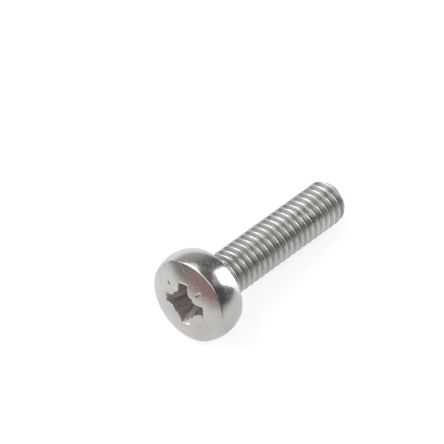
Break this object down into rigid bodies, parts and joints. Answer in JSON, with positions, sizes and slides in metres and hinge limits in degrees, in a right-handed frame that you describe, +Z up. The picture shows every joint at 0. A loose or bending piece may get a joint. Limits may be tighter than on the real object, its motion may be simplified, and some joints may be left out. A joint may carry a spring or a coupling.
{
  "type": "machine screw",
  "caption": "Short steel machine screw with a low domed pan head, a four-winged cross drive recess and a full-length right-hand thread, lying on its side.",
  "frame": {"origin": "centre of the bearing face under the head, on the screw's axis", "axes": "+Z up from the floor it lies on; the shank runs towards +X and dips 7.2 degrees towards its end, because head and thread end both rest on the floor"},
  "size_m": [0.0193, 0.008, 0.0079],
  "materials": {
    "machine_screw": "bright rolled stainless steel"
  },
  "bodies": {
    "root": {"machine_screw": "machine_screw"}
  },
  "joints": []
}
